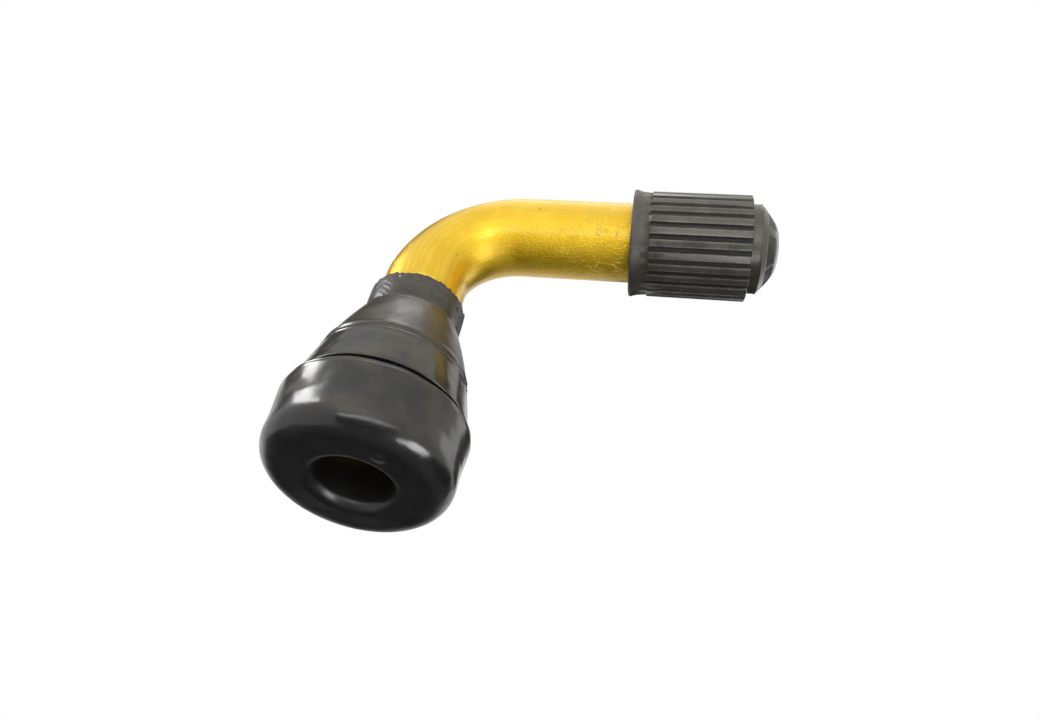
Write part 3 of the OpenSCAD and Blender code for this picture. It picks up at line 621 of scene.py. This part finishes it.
# Cap thread: the ridge inside the cap's bore that runs in the groove of the stem's thread. It is
# moulded with the cap, of the same plastic, and fades out at both ends.
RIDGE_START, RIDGE_TURNS, RIDGE_RINGS = 2.0, 10.5, 56
RIDGE_CREST_R, RIDGE_BITE, RIDGE_FOOT, RIDGE_FLAT = 3.6, 0.03, 0.30, 0.06
RIDGE_ROOT_R = CAP_BORE_R + RIDGE_BITE
along = np.linspace(0, 1, int(RIDGE_TURNS * RIDGE_RINGS) + 1)[:, None]
fade = np.clip(np.minimum(along, 1 - along) * RIDGE_TURNS * 3, 0.02, 1)
corner_x = np.array([-RIDGE_FOOT, -RIDGE_FLAT, RIDGE_FLAT, RIDGE_FOOT])[None, :]
corner_r = np.array([0.0, 1.0, 1.0, 0.0])[None, :]
winds = TAU * RIDGE_TURNS * along
start_phase = np.ceil((CAP_X + RIDGE_START) / PITCH) * PITCH
ridge_x = start_phase + PITCH * RIDGE_TURNS * along + corner_x
ridge_r = RIDGE_ROOT_R - (RIDGE_ROOT_R - RIDGE_CREST_R) * corner_r * fade
coils = np.stack([ridge_x + 0 * winds, -ridge_r * np.sin(winds), LEG_Z + ridge_r * np.cos(winds)], -1)
first, last = (coils[k].mean(1, keepdims=True).repeat(4, 1) for k in (slice(0, 1), slice(-1, None)))
ridge_piece = grid_piece("cap_ridge", np.concatenate([first, coils, last]))
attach(ridge_piece, "dust_cap")
ridge_piece.data.materials.append(dark)

# Floor: a pale sheet under the base, glowing evenly but for a painted soft shadow where the part
# stands on it. It lets the view from below through.
FLOOR_GAP, FLOOR_HALF, SHADOW_REACH = 0.02, 900.0, 22.0
FLOOR_Z = -BUTTON_H - PIP_H - FLOOR_GAP
FLOOR_GREY, SHADOW_GREY = (0.86, 0.86, 0.86, 1), (0.3, 0.3, 0.3, 1)


def stage_sheet(name, grid, colour):
    """Plain sheet of the studio: a grid of points in millimetres with a dull colour."""
    rows, cols = grid.shape[:2]
    first = (np.arange(rows - 1)[:, None] * cols + np.arange(cols - 1)[None, :]).reshape(-1, 1)
    mesh = bpy.data.meshes.new(name)
    mesh.from_pydata(grid.reshape(-1, 3) * MM, [], (first + np.array([[0, 1, cols + 1, cols]])).tolist())
    sheet = bpy.data.objects.new(name, mesh)
    bpy.context.scene.collection.objects.link(sheet)
    finish, tree, shade = new_finish(name)
    shade.inputs["Base Color"].default_value = colour
    shade.inputs["Roughness"].default_value = 0.8
    mesh.materials.append(finish)
    return sheet, tree, shade


side = np.array([-FLOOR_HALF, FLOOR_HALF])
grid = np.stack(np.broadcast_arrays(side[None, :], side[:, None], FLOOR_Z), -1)
floor, tree, shade = stage_sheet("floor", grid, FLOOR_GREY)
# Painted shadow: ambient occlusion darkens the floor's glow near the part.
near = put(tree, "AmbientOcclusion", {"Distance": SHADOW_REACH * MM}).outputs["AO"]
glow_with_shadow = put(tree, "Emission", {"Color": tint(tree, near, SHADOW_GREY, FLOOR_GREY)})
below = put(tree, "NewGeometry").outputs["Backfacing"]
clear = put(tree, "BsdfTransparent")
both = put(tree, "MixShader", {0: below, 1: glow_with_shadow.outputs[0], 2: clear.outputs[0]})
tree.links.new(both.outputs[0], tree.nodes["Material Output"].inputs["Surface"])
tree.nodes.remove(shade)
floor.visible_diffuse = floor.visible_glossy = floor.visible_transmission = floor.visible_shadow = False

# World: the white room of the studio. It is white to the eye and in reflections, and a softer white
# as light, so that the part isn't lit more than its colours can bear.
WHITE, ROOM_LIGHT = (1, 1, 1, 1), 0.29
world = bpy.data.worlds.new("studio")
bpy.context.scene.world = world
world.use_nodes = True
tree = world.node_tree
rays = put(tree, "LightPath").outputs
seen = sums(tree, "MAXIMUM", rays["Is Camera Ray"], rays["Is Glossy Ray"])
seen = sums(tree, "MAXIMUM", seen, rays["Is Transmission Ray"])
soft_light = put(tree, "Background", {"Color": WHITE, "Strength": ROOM_LIGHT})
white = put(tree, "Background", {"Color": WHITE, "Strength": 1.0})
either = put(tree, "MixShader", {0: seen, 1: soft_light.outputs[0], 2: white.outputs[0]})
tree.links.new(either.outputs[0], tree.nodes["World Output"].inputs["Surface"])

# Camera: a wide lens close to the part, below and in front of the base. It looks up at the bottom
# face, with the leg to the right; its focal length is in pixels of an image IMAGE_W wide.
EYE = np.array([22.930, -52.083, -39.949])
RIGHT = np.array([0.98346, 0.06981, 0.16716])
UP = np.array([-0.0737, -0.68878, 0.72122])
BACK = np.array([0.16548, -0.7216, -0.67224])
FOCAL_PIXELS, IMAGE_W, SENSOR_W = 810.5, 1040, 36.0
lens = bpy.data.cameras.new("camera")
lens.sensor_width = SENSOR_W
lens.lens = SENSOR_W * FOCAL_PIXELS / IMAGE_W
lens.clip_start, lens.clip_end = 0.002, 20.0
camera = bpy.data.objects.new("camera", lens)
facing = Matrix((RIGHT, UP, BACK)).transposed().to_4x4()
camera.matrix_world = Matrix.Translation(Vector(EYE * MM)) @ facing
bpy.context.scene.collection.objects.link(camera)
bpy.context.scene.camera = camera

# Studio: a key and a fill light the part without showing in its gloss, and soft boxes and strips show
# in its gloss alone, some kept to one piece. Dark cloths hang low, at the sides and behind, so that the
# gloss has some depth.
AIM, BASE_MIDDLE, CAP_MIDDLE = np.array([12.0, 0.0, 12.0]), (0, 0, -8), (28, 0, LEG_Z)
BUTTON_SIDE, BEND_INSIDE = (4, -6, -5), (4, -2, 22)


def around_part(climb, swing):
    """Direction from the part: climb degrees from the camera's side over the top, swing to the right."""
    climb, swing = (np.asarray(np.radians(angle))[..., None] for angle in (climb, swing))
    return np.cos(swing) * (np.cos(climb) * BACK + np.sin(climb) * UP) + np.sin(swing) * RIGHT


def soft_box(name, climb, swing, far, wide, tall, glow, gloss_only=True, middle=AIM, only=None):
    """Oval area lamp far away from a middle and facing it; glow is how bright its face is, 1 being
    white, so its power is glow times pi times its area. It shows in gloss alone, or lights the part
    without being mirrored. It can be kept to one piece only."""
    light = bpy.data.lights.new(name, "AREA")
    light.shape, light.size, light.size_y = "ELLIPSE", wide * MM, tall * MM
    light.energy = glow * np.pi * np.pi / 4 * wide * tall * MM * MM
    lamp = bpy.data.objects.new(name, light)
    ahead = around_part(climb, swing)
    across = np.cross(around_part(climb + 90, 0), ahead)
    across /= np.linalg.norm(across)
    facing = Matrix((across, np.cross(ahead, across), ahead)).transposed().to_4x4()
    lamp.matrix_world = Matrix.Translation(Vector((np.array(middle) + far * ahead) * MM)) @ facing
    lamp.visible_camera, lamp.visible_diffuse, lamp.visible_glossy = False, not gloss_only, gloss_only
    bpy.context.scene.collection.objects.link(lamp)
    if only:
        lamp.light_linking.receiver_collection = bpy.data.collections.new(name)
        lamp.light_linking.receiver_collection.objects.link(only)


soft_box("key", climb=42, swing=-5, far=300, wide=260, tall=240, glow=4.2, gloss_only=False)
soft_box("fill", climb=165, swing=0, far=300, wide=300, tall=260, glow=2.2, gloss_only=False)
soft_box("box_over", climb=80, swing=0, far=300, wide=620, tall=460, glow=0.18)
soft_box("box_behind", climb=127, swing=3, far=240, wide=110, tall=60, glow=2.4)
soft_box("box_left", climb=114, swing=-47, far=240, wide=45, tall=140, glow=13.0)
soft_box("box_by_camera", climb=40, swing=5, far=240, wide=300, tall=130, glow=0.5)
soft_box("strip_by_camera", climb=18, swing=5, far=240, wide=280, tall=50, glow=3.8)
soft_box("box_right", climb=-29, swing=45, far=95, wide=60, tall=36, glow=11.0, middle=BUTTON_SIDE,
         only=rubber)
soft_box("box_bend", climb=-34, swing=34, far=112, wide=140, tall=110, glow=1.6, middle=BEND_INSIDE,
         only=stem)
soft_box("strip_by_leg", climb=17, swing=4, far=240, wide=200, tall=34, glow=3.0, only=stem)
soft_box("strip_by_cap", climb=-28, swing=10, far=70, wide=64, tall=26, glow=5.0, middle=CAP_MIDDLE,
         only=cap)
soft_box("box_back", climb=-175, swing=54, far=240, wide=120, tall=220, glow=1.0)


def dark_cloth(name, middle, far, climb, swing, grey):
    """Piece of dark cloth far from a middle, between two climbs and two swings round it. It shows in
    gloss and not to the eye."""
    grid = np.meshgrid(np.linspace(*climb, 24), np.linspace(*swing, 12), indexing="ij")
    cloth, _, _ = stage_sheet(name, np.array(middle) + far * around_part(*grid), (grey, grey, grey, 1))
    cloth.visible_camera = cloth.visible_diffuse = cloth.visible_shadow = False


dark_cloth("cloth_low", AIM, far=220, climb=(-125, 8), swing=(-30, 34), grey=0.25)
dark_cloth("cloth_right", AIM, far=220, climb=(-130, -48), swing=(34, 62), grey=0.05)
dark_cloth("cloth_left", AIM, far=220, climb=(-135, -35), swing=(-75, -30), grey=0.05)
dark_cloth("cloth_behind", AIM, far=220, climb=(134, 165), swing=(-55, -12), grey=0.07)
dark_cloth("cloth_base", BASE_MIDDLE, far=35, climb=(-135, -70), swing=(-40, 18), grey=0.03)
dark_cloth("cloth_cap", CAP_MIDDLE, far=45, climb=(-178, -112), swing=(-9, 30), grey=0.04)

bpy.context.scene.view_settings.view_transform = "Standard"
